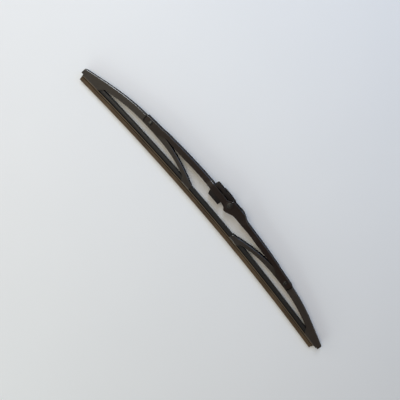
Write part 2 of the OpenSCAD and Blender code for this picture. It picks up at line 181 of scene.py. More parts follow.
def arm_top(s):
    """The bridge's back without its hump: level, then down to the joint over a small step."""
    if s < LEVEL_REACH:
        return BRIDGE_RISE
    if s < PIVOT_REACH:
        run = PIVOT_REACH - LEVEL_REACH
        arm = bend((s - LEVEL_REACH) / run, run, BRIDGE_RISE, JOINT_TOP + JOINT_STEP, 0, -BRIDGE_SLOPE)
        return arm - JOINT_STEP * ease((s - PIVOT_REACH + STEP_BEFORE) / STEP_RUN)
    return JOINT_TOP - BRIDGE_SLOPE * (s - PIVOT_REACH)


def bridge_top(x):
    hump = ease((x - HUMP_START) / HUMP_RUN) * (1 - ease((x - HUMP_END) / HUMP_FALL))
    return arm_top(abs(x - MID_X)) + (HUMP_RISE - BRIDGE_RISE) * hump


def bridge_low(x):
    """The bridge's lower edge, with the ear at the arm pin and a rounded corner at each end."""
    s = abs(x - MID_X)
    hub_low = BRIDGE_RISE - BRIDGE_WALL
    arm = between(hub_low, hub_low - WALL_SAG, (s - SAG_START) / SAG_RUN)
    arm = between(arm, JOINT_LOW, (s - PIVOT_REACH + JOINT_BEFORE) / JOINT_RUN)
    ear = ease((x - EAR_START) / EAR_RUN) if x < 0 else 1 - ease(x / EAR_FALL)
    past = max(0.0, s - BRIDGE_END + END_CORNER)
    return arm - EAR_DROP * ear + END_CORNER - math.sqrt(max(0.0, END_CORNER**2 - past * past))


def bridge_half(x):
    """Half the bridge's width, which flares round the adapter."""
    flare = ease((x - WINDOW_BACK + FLARE_BEFORE) / FLARE_RUN)
    flare *= 1 - ease((x - HUMP_END - FLARE_PAST) / FLARE_FALL)
    return ARM_HALF + (HUB_HALF - ARM_HALF) * flare


# ---------------------------------------------------------------- materials


class Value:
    """A socket that can be used in a sum; each step of the sum adds one Math node."""

    def __init__(self, finish, socket):
        self.finish, self.socket = finish, socket

    def math(self, operation, first, second):
        return self.finish.add("ShaderNodeMath", {0: first, 1: second}, operation=operation)

    def __add__(self, other):
        return self.math("ADD", self, other)

    def __mul__(self, other):
        return self.math("MULTIPLY", self, other)

    def __sub__(self, other):
        return self.math("SUBTRACT", self, other)

    def __rsub__(self, other):
        return self.math("SUBTRACT", other, self)

    __radd__ = __add__
    __rmul__ = __mul__

    def over(self, low, high):
        """0 below low, 1 above high and a smooth rise between them."""
        inputs = {"Value": self, "From Min": low, "From Max": high}
        return self.finish.add("ShaderNodeMapRange", inputs, interpolation_type="SMOOTHSTEP")


class Finish:
    """One material. add() makes any node in it: its settings, then its sockets' values or links."""

    def __init__(self, name, **surface):
        self.material = bpy.data.materials.new(name)
        self.material.use_nodes = True
        self.tree = self.material.node_tree
        self.surface = self.tree.nodes["Principled BSDF"]
        for socket, value in surface.items():
            self.surface.inputs[socket.replace("_", " ")].default_value = value

    def add(self, kind, inputs, out=0, **settings):
        node = self.tree.nodes.new(kind)
        for name, value in settings.items():
            setattr(node, name, value)
        for socket, value in inputs.items():
            if isinstance(value, Value):
                self.tree.links.new(value.socket, node.inputs[socket])
            else:
                node.inputs[socket].default_value = value
        return Value(self, node.outputs[out])

    def feed(self, socket, value):
        self.tree.links.new(value.socket, self.surface.inputs[socket])

    def marked(self, name):
        """What mark() wrote over the mesh under this name."""
        return self.add("ShaderNodeAttribute", {}, "Fac", attribute_name=name)

    def grain(self, scale, detail=3.0, rough=0.5, stretch=(1, 1, 1)):
        """Noise from 0 to 1, scale lumps to a metre, and drawn out along X where stretch says so."""
        where = self.add("ShaderNodeTexCoord", {}, "Object")
        where = self.add("ShaderNodeMapping", {"Vector": where, "Scale": stretch})
        inputs = {"Vector": where, "Scale": scale, "Detail": detail, "Roughness": rough}
        return self.add("ShaderNodeTexNoise", inputs)

    def blend(self, mask, first, second):
        """The first colour where the mask is 0 and the second where it is 1."""
        first, second = (c if isinstance(c, Value) else (*c, 1) for c in (first, second))
        # A Mix node has a set of sockets for each kind of data: 6, 7 and output 2 are the colours.
        return self.add("ShaderNodeMix", {0: mask, 6: first, 7: second}, 2, data_type="RGBA")

    def relief(self, height, distance, strength):
        inputs = {"Height": height, "Distance": distance, "Strength": strength}
        self.feed("Normal", self.add("ShaderNodeBump", inputs))


# How much a grain is drawn out along the blade: lines of a die or a mill, scratches, scuffs, clouds
DRAWN, SCRATCHED, SCUFFED, CLOUDED = (0.01, 1, 1), (0.12, 1, 1), (0.25, 1, 1), (0.5, 1, 1)


def stoved_black(name, tone):
    """Satin black paint over pressed steel.

    It has a slight orange peel, rubbed edges and fine dust. Its folds are glossy, and its back,
    which the attribute turn tells from the walls, is dull and darkened in colour as painted shade.
    """
    dust_tone, bare_steel, shaded_back = (0.16, 0.14, 0.12), (0.17, 0.165, 0.16), (0.003, 0.003, 0.003)
    paint = Finish(name, IOR=1.5, Specular_IOR_Level=0.25, Coat_IOR=2.0, Coat_Roughness=0.21)
    mottle = paint.grain(60, 4)
    peel = paint.grain(1400, 2)
    scratches = paint.grain(420, 2, 0.6, SCRATCHED)
    edge = paint.marked("rim")
    turn = paint.marked("turn")
    back = turn.over(0.45, 0.75)
    worn = (edge * (mottle * 0.5 + scratches * 0.9)).over(0.62, 0.92)
    dust = (paint.grain(2600, 3, 0.7) * (mottle + 0.35)).over(0.52, 0.74)
    base = paint.blend(mottle, tone, tuple(c * 1.35 for c in tone))
    base = paint.blend(dust * 0.25, base, dust_tone)
    base = paint.blend(worn * 0.6, base, bare_steel)
    # Painted shade: the back's colour is pushed towards near black.
    paint.feed("Base Color", paint.blend(back * 0.6, base, shaded_back))
    paint.feed("Roughness", 0.38 + mottle * 0.14 + dust * 0.2 + back * 0.35)
    paint.feed("Coat Weight", turn.over(0.04, 0.2) * (1 - back) * (0.75 + mottle * 0.5))
    paint.feed("Metallic", worn * 0.5)
    height = peel * 0.5 + scratches * 0.25 - worn * 0.3
    paint.relief(height, distance=0.05 * MM, strength=0.5)
    return paint.material


def moulded_nylon(name, tone, gloss, scuffed):
    """Black nylon with a fine spark-eroded grain and paler, rubbed high spots."""
    nylon = Finish(name, IOR=1.53, Specular_IOR_Level=gloss)
    mottle = nylon.grain(90, 3)
    spark = nylon.grain(3200, 2, 0.6)
    scuffs = (nylon.grain(700, 3, 0.6, SCUFFED) * (mottle + 0.3)).over(0.5, 0.7)
    base = nylon.blend(mottle, tone, tuple(c * 1.9 for c in tone))
    nylon.feed("Base Color", nylon.blend(scuffs * scuffed, base, (0.05, 0.047, 0.045)))
    nylon.feed("Roughness", 0.42 + mottle * 0.16 + scuffs * 0.12)
    nylon.relief(spark * 0.6 + scuffs * 0.2, distance=0.04 * MM, strength=0.5)
    return nylon.material


def extruded_rubber(name):
    """Black rubber with lines from the die.

    Its head is bluish. Below the groove, where the attribute open is 1, it has a brown bloom, with
    dust on the ledge over the lip. The groove and the slit are painted black as shade in the recesses.
    """
    head_tones = (0.008, 0.0086, 0.0095), (0.015, 0.0156, 0.0168)
    bloom_tones = (0.048, 0.029, 0.0155), (0.095, 0.060, 0.033)
    ledge_tone, line_tone, dust_tone = (0.15, 0.115, 0.075), (0.075, 0.06, 0.045), (0.18, 0.155, 0.12)
    rubber = Finish(name, IOR=1.5, Specular_IOR_Level=0.28)
    lines = rubber.grain(900, 3, 0.6, DRAWN)
    bloom = rubber.grain(38, 4, 0.6, CLOUDED)
    dust = (rubber.grain(2400, 3, 0.7) * (bloom + 0.3)).over(0.46, 0.66)
    open_air, ledge, groove_shade = (rubber.marked(where) for where in ("open", "ledge", "groove_shade"))
    head = rubber.blend(bloom, *head_tones)
    below = rubber.blend(bloom.over(0.3, 0.72), *bloom_tones)
    base = rubber.blend(open_air, head, below)
    base = rubber.blend(ledge * 0.35, base, ledge_tone)
    base = rubber.blend(lines.over(0.45, 0.8) * (open_air * 0.25 + 0.1), base, line_tone)
    base = rubber.blend(dust * (open_air * 0.22 + 0.1), base, dust_tone)
    # Painted shade: the groove and the slit are turned near black and made rougher.
    rubber.feed("Base Color", rubber.blend(groove_shade, base, (0.001, 0.001, 0.001)))
    rubber.feed("Roughness", 0.5 + bloom * 0.2 + dust * 0.15 + groove_shade * 0.4)
    rubber.relief(lines * 0.7 + dust * 0.1, distance=0.06 * MM, strength=0.6)
    return rubber.material


def set_rivet(name, dullness):
    """Black rivet head, with its paint rubbed thin in the middle."""
    rivet = Finish(name, IOR=1.5, Specular_IOR_Level=0.42)
    mottle = rivet.grain(500, 3)
    worn = (rivet.marked("rim") * (mottle + 0.4)).over(0.55, 0.95)
    base = rivet.blend(mottle, (0.006, 0.005, 0.0045), (0.011, 0.0095, 0.0085))
    rivet.feed("Base Color", rivet.blend(worn * 0.35, base, (0.12, 0.115, 0.11)))
    rivet.feed("Metallic", worn * 0.4)
    rivet.feed("Roughness", dullness + mottle * 0.12)
    rivet.relief(mottle, distance=0.04 * MM, strength=0.5)
    return rivet.material


def rolled_strip(name):
    """Cold-rolled spring strip, dulled, with rolling lines along it and a little rust in the pits."""
    strip = Finish(name, IOR=2.0)
    rolling = strip.grain(1500, 3, 0.6, DRAWN)
    rust = strip.grain(260, 4, 0.65).over(0.62, 0.78)
    base = strip.blend(rolling, (0.035, 0.035, 0.037), (0.06, 0.06, 0.062))
    strip.feed("Base Color", strip.blend(rust * 0.6, base, (0.09, 0.045, 0.022)))
    strip.feed("Metallic", 1 - rust * 0.8)
    strip.feed("Roughness", 0.34 + rolling * 0.15 + rust * 0.3)
    strip.relief(rolling + rust * 0.5, distance=0.04 * MM, strength=0.4)
    return strip.material


def table_top(name):
    """Pale matt table, cool, with a barely seen mottle."""
    table = Finish(name, Roughness=0.75, IOR=1.35)
    mottle = table.grain(5, 3)
    table.feed("Base Color", table.blend(mottle, (0.80, 0.825, 0.875), (0.84, 0.865, 0.915)))
    table.relief(table.grain(900, 3), distance=0.02 * MM, strength=0.2)
    return table.material


BRIDGE_PAINT = stoved_black("bridge_paint", (0.0092, 0.0046, 0.0038))
LEVER_PAINT = stoved_black("lever_paint", (0.0222, 0.0182, 0.0160))
NYLON = moulded_nylon("black_nylon", (0.0046, 0.0028, 0.0029), gloss=0.2, scuffed=0.25)
# The liners are black nylon, but their tone is pushed to near black and their gloss almost off: partly
# painted shade for the dark gap at each bridge end.
SHADED_LINER_NYLON = moulded_nylon("liner_nylon", (0.0010, 0.0009, 0.0009), gloss=0.04, scuffed=0.02)
RUBBER = extruded_rubber("wiping_rubber")
RIVET = set_rivet("rivet_heads", dullness=0.2)
PIN = set_rivet("pin_heads", dullness=0.38)
STRIP = rolled_strip("spine_strip")

# ---------------------------------------------------------------- how a piece is made


def new_piece(name, mesh, finish, body, nodes):
    """Adds a piece that rides on body, or on no body when none is given."""
    piece = bpy.data.objects.new(name, mesh)
    bpy.context.scene.collection.objects.link(piece)
    mesh.materials.clear()
    mesh.materials.append(finish)
    if body:
        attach(piece, body)
    if nodes:
        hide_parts(*nodes)
    return piece


def worked(bm, steel=0.0, edge=0.12):
    """The mesh of bm after its sheet is given thickness and its sharp edges are rounded."""
    mesh = bpy.data.meshes.new("work")
    bm.to_mesh(mesh)
    bm.free()
    holder = bpy.data.objects.new("work", mesh)
    bpy.context.scene.collection.objects.link(holder)
    if steel:
        sheet = holder.modifiers.new("sheet", "SOLIDIFY")
        sheet.thickness, sheet.offset = steel * MM, -1
        sheet.use_even_offset = sheet.use_quality_normals = True
    if edge:
        rounding = holder.modifiers.new("edges", "BEVEL")
        rounding.width, rounding.segments = edge * MM, 2
        rounding.limit_method, rounding.angle_limit = "ANGLE", SHARP_EDGE
        rounding.miter_outer = "MITER_ARC"
        holder.modifiers.new("normals", "WEIGHTED_NORMAL").keep_sharp = True
    for polygon in mesh.polygons:
        polygon.use_smooth = True
    graph = bpy.context.evaluated_depsgraph_get()
    done = bpy.data.meshes.new_from_object(holder.evaluated_get(graph))
    bpy.data.objects.remove(holder)
    return done


def mark(mesh, rule, name="rim"):
    """Writes rule(point), from 0 to 1, into an attribute: the paint wears by the one named rim."""
    values = [rule(v.co / MM) for v in mesh.vertices]
    attribute = mesh.attributes.new(name, "FLOAT", "POINT")
    attribute.data.foreach_set("value", values)


def vertex(bm, x, y, z):
    return bm.verts.new(Vector((x, y, z)) * MM)


def arc(cx, cy, radius, start, end, count):
    """Points round cx, cy from the angle start to the angle end, in degrees."""
    turns = [math.radians(start + (end - start) * k / count) for k in range(count + 1)]
    return [(cx + radius * math.cos(a), cy + radius * math.sin(a)) for a in turns]


def oblong(x0, x1, y0, y1, radius):
    """The outline of a rectangle with rounded corners."""
    corners = [
        (x1 - radius, y1 - radius, 0),
        (x0 + radius, y1 - radius, 90),
        (x0 + radius, y0 + radius, 180),
        (x1 - radius, y0 + radius, 270),
    ]
    return [p for cx, cy, a in corners for p in arc(cx, cy, radius, a, a + 90, 4)]


def plates(shapes, edge):
    """Flat plates with rounded rims.

    Each shape is (outlines, lowest z, highest z). Its first outline is the rim and the rest are holes.
    """
    bm = bmesh.new()
    for outlines, low, high in shapes:
        flat = bpy.data.curves.new("plate", "CURVE")
        flat.dimensions, flat.fill_mode = "2D", "BOTH"
        flat.extrude = (high - low) / 2 * MM - edge * MM
        flat.bevel_depth, flat.bevel_resolution, flat.offset = edge * MM, 1, -edge * MM
        for outline in outlines:
            spline = flat.splines.new("POLY")
            spline.points.add(len(outline) - 1)
            for point, (x, y) in zip(spline.points, outline, strict=True):
                point.co = (x * MM, y * MM, 0, 1)
            spline.use_cyclic_u = True
        holder = bpy.data.objects.new("plate", flat)
        bpy.context.scene.collection.objects.link(holder)
        graph = bpy.context.evaluated_depsgraph_get()
        mesh = bpy.data.meshes.new_from_object(holder.evaluated_get(graph))
        mesh.transform(Matrix.Translation((0, 0, (low + high) / 2 * MM)))
        bm.from_mesh(mesh)
        bpy.data.objects.remove(holder)
    bmesh.ops.remove_doubles(bm, verts=bm.verts[:], dist=1e-7)
    bmesh.ops.recalc_face_normals(bm, faces=bm.faces[:])
    mesh = bpy.data.meshes.new("plates")
    bm.to_mesh(mesh)
    bm.free()
    for polygon in mesh.polygons:
        polygon.use_smooth = True
    mesh.set_sharp_from_angle(angle=SHARP_PLATE)
    return mesh


def swept(strips):
    """Closed strips: each is a list of rings of points, with as many points in every ring."""
    bm = bmesh.new()
    for strip in strips:
        rings = [[vertex(bm, *p) for p in ring] for ring in strip]
        count = len(rings[0])
        for a, b in zip(rings, rings[1:], strict=False):
            for k in range(count):
                n = (k + 1) % count
                bm.faces.new((a[k], b[k], b[n], a[n]))
        bm.faces.new(rings[0])
        bm.faces.new(rings[-1][::-1])
    bmesh.ops.recalc_face_normals(bm, faces=bm.faces[:])
    return bm


def turned(outline, cx, cy, count=48):
    """The same solid on both sides of z = 0, turned round the Z axis at cx, cy.

    The outline holds (radius, height) from the middle of the crown outwards and down.
    """
    bm = bmesh.new()
    turns = [2 * math.pi * k / count for k in range(count)]
    for sign in (1, -1):
        tip = vertex(bm, cx, cy, sign * outline[0][1])
        rings = []
        for radius, height in outline[1:]:
            circle = [(cx + radius * math.cos(a), cy + radius * math.sin(a)) for a in turns]
            rings.append([vertex(bm, x, y, sign * height) for x, y in circle])
        for k in range(count):
            n = (k + 1) % count
            faces = [(tip, rings[0][k], rings[0][n])]
            faces += [(a[k], b[k], b[n], a[n]) for a, b in zip(rings, rings[1:], strict=False)]
            for face in faces:
                bm.faces.new(face if sign > 0 else face[::-1])
        last = rings[-1]
        bm.faces.new(last[::-1] if sign > 0 else last)
    return bm


# ---------------------------------------------------------------- pressings


def stations(low, high, coarse, fine, spots):
    """Places from low to high, coarse apart, and fine apart inside each (from, to) of spots."""
    made, at = [low], low
    while at < high - 1e-6:
        near = any(a - coarse < at < b for a, b in spots)
        at = min(at + (fine if near else coarse), high)
        made.append(at)
    if len(made) > 2 and made[-1] - made[-2] < fine / 2:
        made.pop(-2)
    return made


def move_nearest(marks, edges):
    """Moves the nearest mark on to each edge, so that a cut or a claw ends on a row of points."""
    for edge in edges:
        nearest = min(range(len(marks)), key=lambda k: abs(marks[k] - edge))
        marks[nearest] = edge


def mirrored(points):
    return [(x, y, -z) for x, y, z in reversed(points)]


def wall_and_fold(x, top, low, half, wall_faces):
    """Outer face of one wall from its lower edge up and round the fold, on the +Z side."""
    rise = top - FOLD - low
    points = [(x, low + rise * k / wall_faces, half) for k in range(wall_faces + 1)]
    for k in range(1, FOLD_FACES + 1):
        a = math.pi / 2 * k / FOLD_FACES
        points.append((x, top - FOLD + FOLD * math.sin(a), half - FOLD + FOLD * math.cos(a)))
    return points


def channel_row(x, top, half, side):
    """One row of points across a channel: a side, the back at height top, and the side mirrored."""
    flat = half - FOLD
    back = [(x, top, flat - 2 * flat * k / BACK_FACES) for k in range(1, BACK_FACES)]
    return side + back + mirrored(side)


def channel(rows, there, flip=False):
    """The outer skin of a channel, with a face wherever there(row, column) says so."""
    bm = bmesh.new()
    grid = [[vertex(bm, *p) for p in row] for row in rows]
    for i in range(len(rows) - 1):
        for j in range(len(rows[0]) - 1):
            if there(i, j):
                face = (grid[i][j], grid[i + 1][j], grid[i + 1][j + 1], grid[i][j + 1])
                bm.faces.new(face[::-1] if flip else face)
    return bm, grid


def drop_loose(bm):
    """Takes out the points that no face uses, in a window or between the claws."""
    bmesh.ops.delete(bm, geom=[v for v in bm.verts if not v.link_faces], context="VERTS")


def fold_turn(p, half):
    """How far round its fold a point of a channel is: 0 on a wall, 1 on the back."""
    return math.acos(min(max(1 - (half - abs(p.z)) / FOLD, 0.0), 1.0)) / (math.pi / 2)


def pressing_rim(p, top, low, half):
    """How near a point is to a fold or to a lower edge."""
    fold = math.hypot(top - p.y, half - abs(p.z))
    return math.exp(-fold * FOLD_FADE) + math.exp(-abs(p.y - low) * EDGE_FADE)


def main_bridge():
    """The bridge as one folded sheet, with the adapter's window cut in its back."""
    start, end, corner = MID_X - BRIDGE_END, MID_X + BRIDGE_END, 4
    ear = (-10, 18)
    spots = [ear, (start, start + corner), (end - corner, end)]
    marks = stations(start, end, BRIDGE_COARSE, FINE, spots)
    move_nearest(marks, (WINDOW_BACK, WINDOW_FRONT))
    rows = []
    for x in marks:
        top, half = bridge_top(x), bridge_half(x)
        side = wall_and_fold(x, top, bridge_low(x), half, BRIDGE_WALL_FACES)
        rows.append(channel_row(x, top, half, side))
    inner = BRIDGE_WALL_FACES + 2, len(rows[0]) - BRIDGE_WALL_FACES - 4

    def there(i, j):
        in_window = marks[i] > WINDOW_BACK - NEAR and marks[i + 1] < WINDOW_FRONT + NEAR
        return not (in_window and inner[0] <= j <= inner[1])

    bm, _ = channel(rows, there)
    drop_loose(bm)
    mesh = worked(bm, BRIDGE_STEEL)
    mark(mesh, lambda p: pressing_rim(p, bridge_top(p.x), bridge_low(p.x), bridge_half(p.x)))
    mark(mesh, lambda p: fold_turn(p, bridge_half(p.x)), "turn")
    new_piece("bridge_pressing", mesh, BRIDGE_PAINT, "bridge", ["main_bridge"])


def bosses():
    """Round boss pressed out of each ear, with a soft shoulder."""
    top, shoulder = HUB_HALF + BOSS_HEIGHT, 5.2
    outline = [(0, top), (3.0, top), (4.9, top), (5.15, top - 0.05), (5.35, top - 0.16)]
    outline += [(5.6, HUB_HALF + 0.03), (5.8, HUB_HALF - 0.2)]
    mesh = worked(turned(outline, 0, 0, count=72), edge=0)
    mark(mesh, lambda p: math.exp(-abs(math.hypot(p.x, p.y) - shoulder) * BOSS_FADE))
    new_piece("ear_bosses", mesh, BRIDGE_PAINT, "bridge", [])


def lever_marks():
    """The places along a lever that have a row of points: close together at the claws and the nose."""
    spots = [
        (INNER_CLAW_REACH, INNER_CLAW_END + INNER_CLAW_FLARE + 1),
        (CLAW_START - OUTER_CLAW_FLARE, CLAW_START + 2),
        (CLAW_END - 1, TIP_REACH),
    ]
    marks = [INNER_CLAW_REACH + k for k in (0, 0.05, 0.2)]
    marks += stations(INNER_CLAW_REACH + FINE, TIP_REACH, LEVER_COARSE, FINE, spots)
    move_nearest(marks, (WEB_START, CLAW_END))
    return marks


def is_claw(s):
    """Whether the walls are folded in round the rubber's head at s."""
    inner = INNER_CLAW_REACH <= s <= INNER_CLAW_END - 0.4
    return inner or CLAW_START - 0.1 <= s <= CLAW_END + NEAR


def lever(side):
    """A lever as one folded sheet: open over the inner claw, and closed by a nose at the tip."""
    marks = lever_marks()
    lip_end = NECK_WIDTH / 2 + NECK_GAP
    rows = []
    for s in marks:
        top, low = lever_edge(s), lever_low(s)
        under = [(s, low, lip_end)]
        for k in range(CLAW_FACES):
            a = math.pi / 2 * k / CLAW_FACES
            y, z = low + CLAW_ROUND * (1 - math.cos(a)), LEVER_HALF - CLAW_ROUND * (1 - math.sin(a))
            under.append((s, y, z))
        floor = low + CLAW_ROUND if is_claw(s) else low
        wall = wall_and_fold(s, top, floor, LEVER_HALF, LEVER_WALL_FACES)
        rows.append(channel_row(s, top, LEVER_HALF, under + wall))
    width, first = len(rows[0]), CLAW_FACES + 1
    web = first + LEVER_WALL_FACES + 2, width - first - LEVER_WALL_FACES - 4

    def there(i, j):
        if j < first or j >= width - 1 - first:
            return is_claw(marks[i]) and is_claw(marks[i + 1])
        return not (marks[i + 1] < WEB_START + NEAR and web[0] <= j <= web[1])

    sign = 1 if side == "right" else -1
    placed = [[(MID_X + sign * x, y, z) for x, y, z in row] for row in rows]
    bm, grid = channel(placed, there, flip=sign < 0)
    nose = grid[-1][first : width - first]
    bm.faces.new(nose[::-1] if sign > 0 else nose)
    drop_loose(bm)
    mesh = worked(bm, LEVER_STEEL)

    def wear(p):
        s = abs(p.x - MID_X)
        end = min(s - INNER_CLAW_REACH, TIP_REACH - s)
        rim = pressing_rim(p, lever_top(s), lever_low(s), LEVER_HALF)
        return rim + math.exp(-end * END_FADE)

    mark(mesh, wear)
    mark(mesh, lambda p: fold_turn(p, LEVER_HALF), "turn")
    body, node = f"{side}_lever", f"lever_{side}"
    new_piece(f"lever_pressing_{side}", mesh, LEVER_PAINT, body, [node])


# ---------------------------------------------------------------- rivets, adapter and liners


def rivet_head(grip, diameter, height, shank_d):
    """Outline of a set rivet: a domed crown, a rounded skirt and the shank under it."""
    r, stem = diameter / 2, shank_d / 2
    out = [k / DOME_FACES for k in range(DOME_FACES + 1)]
    dome = [(r * 0.94 * t, grip + height * (1 - 0.62 * t * t)) for t in out]
    skirt = [(r * 0.985, grip + height * 0.27), (r, grip + height * 0.14), (r, grip)]
    return dome + skirt + [(stem, grip), (stem, grip - 1.4)]


def rivet(name, finish, node, x, y, outline, rubbed):
    """Both heads of a rivet. Their paint is rubbed within about rubbed of the middle."""
    mesh = worked(turned(outline, x, y), edge=0)
    mark(mesh, lambda p: math.exp(-((math.hypot(p.x - x, p.y - y) / rubbed) ** 2)))
    new_piece(name, mesh, finish, "bridge", [node])


def rivets():
    pin = rivet_head(HUB_HALF + BOSS_HEIGHT, PIN_HEAD_D, PIN_HEAD_HEIGHT, PIN_D)
    rivet("arm_pin", PIN, "centre_rivet", 0, 0, pin, rubbed=2.4)
    head = rivet_head(ARM_HALF, LEVER_RIVET_D + 2, LEVER_HEAD_HEIGHT, LEVER_RIVET_D)
    for side, sign in (("left", -1), ("right", 1)):
        x, node = MID_X + sign * PIVOT_REACH, f"lever_rivet_{side}"
        rivet(f"{node}_set", RIVET, node, x, -PIVOT_DROP, head, rubbed=1.8)


def arm_adapter():
    """Two cheeks, the core that the arm's hook bends round, and the ribbed strap under the hook."""
    back = -ADAPTER_BACK
    cheek_top = HOOK_RADIUS + CHEEK_RISE
    slot_low = -HOOK_RADIUS - HOOK_THICKNESS - HOOK_PLAY
    strap_low = slot_low - 1.1
    strap_front, strap_back = -10.4, 2.8 - ADAPTER_BACK
    nose = HOOK_RADIUS + NOSE_RISE
    side = [
        (0.2 + back, -5), (back, 2.2), (0.4 + back, 6.6), (1.5 + back, cheek_top - 1),
        (-19, cheek_top - 1), (-18, cheek_top - 0.1), (-6, cheek_top), (-1.5, nose + 0.02),
    ]
    side += arc(0, 0, nose, 90, -104, 44)
    side += [(strap_front, -HOOK_RADIUS - 0.4), (strap_front, strap_low), (strap_back, strap_low)]
    notch_back, notch_front, notch_low = -17.3, -14.3, cheek_top - 1.7
    notch = [(notch_back, cheek_top - 0.08), (notch_back, notch_low)]
    notch += [(notch_front, notch_low), (notch_front, cheek_top - 0.03)]
    notched = side[:6] + notch + side[6:]
    tall = HOOK_RADIUS - 2.2
    windows = [oblong(x0, x1, -tall, tall, 0.6) for x0, x1 in ((-24.5, -17), (-12.5, -6.6))]
    bore = arc(0, 0, PIN_D / 2 + 0.05, 0, 345, 23)
    core = arc(0, 0, HOOK_RADIUS, -90, 90, 24)
    core += [(4.3 + back, HOOK_RADIUS), (4.3 + back, -HOOK_RADIUS)]
    rib_pitch, rib = 2.4, 0.57
    ribs = []
    for k in range(6):
        x = strap_front - rib_pitch - k * rib_pitch
        ribs += [(x + rib, strap_low), (x, strap_low + rib), (x - rib, strap_low)]
    strap = [(strap_front, strap_low), *ribs, (strap_back, strap_low), (strap_back - 0.45, slot_low)]
    strap += [(strap_front - 7.2, slot_low), (strap_front - 6, slot_low + 0.3)]
    strap += [(strap_front - 5, slot_low), (strap_front, slot_low)]
    inside = SLOT_HALF + 0.3
    shapes = [
        ([notched, *windows, bore], SLOT_HALF, ADAPTER_HALF),
        ([side, *windows, bore], -ADAPTER_HALF, -SLOT_HALF),
        ([core, *windows, bore], -inside, inside),
        ([strap], -inside, inside),
    ]
    mesh = plates(shapes, edge=0.22)
    new_piece("hook_adapter", mesh, NYLON, "adapter", ["arm_adapter"])


def pivot_liners():
    """A saddle over each lever: cheeks and a strap inside the bridge, and a rim past its end."""
    strap_out = PIVOT_REACH - 8.5
    strap_in = strap_out - 5
    strap_top = arm_top(strap_out) - FOLD - LINER_GAP
    strap_low = strap_top - LINER_STRAP
    inside, shy = LEVER_HALF + LINER_GAP, 0.1
    rim_half, rim_fold = ARM_HALF - shy, FOLD - shy
    rim_top, rim_low = arm_top(BRIDGE_END) - shy, JOINT_LOW + END_CORNER
    rim_in, rim_out = BRIDGE_END + LINER_GAP, BRIDGE_END + LINER_PAST
    rim_under, cheek_out = rim_top - LINER_STRAP, rim_out - 0.2
    cheek = [
        (strap_in, strap_top), (strap_out, strap_top),
        (cheek_out, arm_top(BRIDGE_END) - FOLD - LINER_GAP), (cheek_out, rim_low),
        (BRIDGE_END - 1, JOINT_LOW + 1), (PIVOT_REACH, JOINT_LOW + 0.5), (strap_in, -PIVOT_DROP),
    ]
    strap = [(strap_in, strap_top), (strap_out, strap_top)]
    strap += [(strap_out, strap_low), (strap_in, strap_low)]
    corner_x = BRIDGE_END - END_CORNER
    corner = arc(corner_x, rim_low, END_CORNER + LINER_PAST, 0, -60, 10)
    corner += arc(corner_x, rim_low, END_CORNER + LINER_GAP, -60, 0, 10)
    fold = arc(rim_half - rim_fold, rim_top - rim_fold, rim_fold, 0, 90, 5)
    outer = [(rim_low, rim_half)] + [(y, z) for z, y in fold]
    rim = outer + [(y, -z) for y, z in reversed(outer)]
    rim += [(rim_low, -inside), (rim_under, -inside), (rim_under, inside), (rim_low, inside)]
    for side, sign in (("left", -1), ("right", 1)):

        def at(points, sign=sign):
            return [(MID_X + sign * x, y) for x, y in points]

        shapes = [
            ([at(cheek)], inside, inside + LINER_WALL),
            ([at(cheek)], -inside - LINER_WALL, -inside),
            ([at(strap)], -inside - 0.2, inside + 0.2),
            ([at(corner)], inside, rim_half),
            ([at(corner)], -rim_half, -inside),
        ]
        saddle, node = plates(shapes, edge=0.08), f"pivot_liner_{side}"
        new_piece(f"liner_{side}", saddle, SHADED_LINER_NYLON, "bridge", [node])
        ends = [[(MID_X + sign * x, y, z) for y, z in rim] for x in (rim_in, rim_out)]
        # The rim past the bridge's end carries that near-black nylon, partly painted shade for the gap
        # there.
        band = worked(swept([ends]), edge=0.25)
        new_piece(f"liner_rim_{side}", band, SHADED_LINER_NYLON, "bridge", [])


# ---------------------------------------------------------------- rubber and spines


def bow_point(s, depth, z):
    """A point of the strip: s along the bow, depth below the rubber's back."""
    turn = math.asin(s / BOW_RADIUS)
    radius = BOW_RADIUS - depth
    return MID_X + radius * math.sin(turn), radius * math.cos(turn) - BOW_RADIUS - HEAD_DROP, z


def rubber_depth(p):
    """The depth of a point below the rubber's back."""
    return BOW_RADIUS - math.hypot(p.x - MID_X, p.y + BOW_RADIUS + HEAD_DROP)


def rubber_section():
    """(depth, z) round the rubber: head with spine slots, groove, shoulder, slit, hinge and lip."""
    wide, neck, shoulder = HEAD_WIDTH / 2, NECK_WIDTH / 2, SHOULDER_WIDTH / 2
    slot_top, slot_low = SPINE_TOP - SPINE_GAP, SPINE_TOP + SPINE_THICKNESS + SPINE_GAP
    lip = SLIT_TOP + SLIT_HEIGHT
    head = [
        (0, wide - 0.4), (0.12, wide - 0.12), (0.4, wide), (slot_top, wide), (slot_top, SLOT_BOTTOM),
        (slot_low, SLOT_BOTTOM), (slot_low, wide), (HEAD_HEIGHT - 0.2, wide), (HEAD_HEIGHT, wide - 0.2),
    ]
    below = [
        (HEAD_HEIGHT, neck), (GROOVE_LOW, neck), (GROOVE_LOW, shoulder - 0.2),
        (GROOVE_LOW + 0.2, shoulder), (SLIT_TOP - 0.5, shoulder - 0.3), (SLIT_TOP, shoulder - 0.9),
    ]
    blade = [
        (SLIT_TOP, HINGE_HALF), (lip, HINGE_HALF), (lip + 0.1, HEEL_HALF), (lip + 0.6, HEEL_HALF),
        (lip + 1.0, 1.2), (lip + 1.4, 0.78), (lip + 3.0, 0.55), (SLIT_TOP + LIP_HEIGHT, EDGE_WIDTH / 2),
    ]
    half = head + below + blade
    return half + [(depth, -z) for depth, z in reversed(half)]


def is_open(p):
    """0 on the head and 1 below it."""
    return ease((rubber_depth(p) - HEAD_HEIGHT - 0.3) / 0.8)


